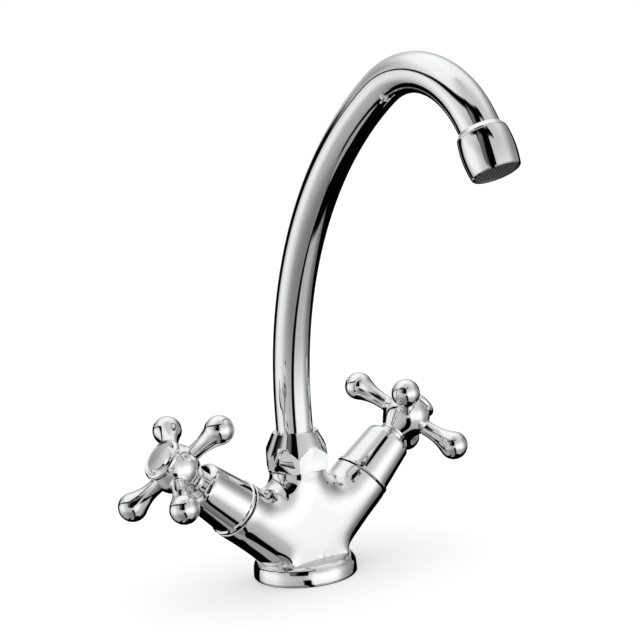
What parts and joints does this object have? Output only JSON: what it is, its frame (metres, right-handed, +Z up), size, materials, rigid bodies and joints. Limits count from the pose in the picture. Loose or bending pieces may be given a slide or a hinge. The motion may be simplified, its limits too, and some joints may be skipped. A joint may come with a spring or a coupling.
{
  "type": "two handle kitchen mixer tap",
  "caption": "Chrome deck mixer with a Y-shaped body, leaning valve arms with ball-ended cross handles, and a tall swan-neck swivel spout with aerator.",
  "frame": {"origin": "centre of the base flange's underside, on the spout's swivel axis, at deck height", "axes": "+Z up along the swivel axis; the spout reaches towards -Y at rest, and the left valve arm leans towards -X"},
  "size_m": [0.1799, 0.202, 0.253],
  "materials": {
    "chrome": "polished chrome plate on brass",
    "brass": "machined",
    "steel": "stainless",
    "rubber": "moulded seal rubber",
    "plastic": "moulded acetal",
    "ceramic": "ground and lapped ceramic"
  },
  "bodies": {
    "base": {"body": "chrome", "base_gasket": "rubber", "spout_nut": "chrome", "slide_ring": "plastic", "left_valve_seal": "rubber", "left_fixed_disc": "ceramic", "left_valve_bonnet": "brass", "left_bonnet_oring": "rubber", "left_valve_shroud": "chrome", "right_valve_seal": "rubber", "right_fixed_disc": "ceramic", "right_valve_bonnet": "brass", "right_bonnet_oring": "rubber", "right_valve_shroud": "chrome"},
    "spout": {"spout_tube": "chrome", "spout_spigot": "brass", "spout_orings": "rubber", "spout_end_collar": "chrome", "aerator_housing": "chrome", "aerator_washer": "rubber", "aerator_insert": "plastic", "aerator_screen": "steel"},
    "left_handle": {"left_cross_handle": "chrome", "left_index_button": "chrome", "left_handle_screw": "steel", "left_valve_spindle": "brass", "left_spindle_orings": "rubber", "left_spindle_circlip": "steel", "left_moving_disc": "ceramic"},
    "right_handle": {"right_cross_handle": "chrome", "right_index_button": "chrome", "right_handle_screw": "steel", "right_valve_spindle": "brass", "right_spindle_orings": "rubber", "right_spindle_circlip": "steel", "right_moving_disc": "ceramic"}
  },
  "joints": [
    {"name": "spout_swivel", "type": "hinge", "parent": "base", "child": "spout", "pos_m": [0, 0, 0.063], "axis": [0, 0, 1], "continuous": true},
    {"name": "left_handle_turn", "type": "hinge", "parent": "base", "child": "left_handle", "pos_m": [0, 0, 0.0093], "axis": [-0.766, 0, 0.6428], "range_deg": [0, 90]},
    {"name": "right_handle_turn", "type": "hinge", "parent": "base", "child": "right_handle", "pos_m": [0, 0, 0.0093], "axis": [0.766, 0, 0.6428], "range_deg": [0, 90]}
  ]
}
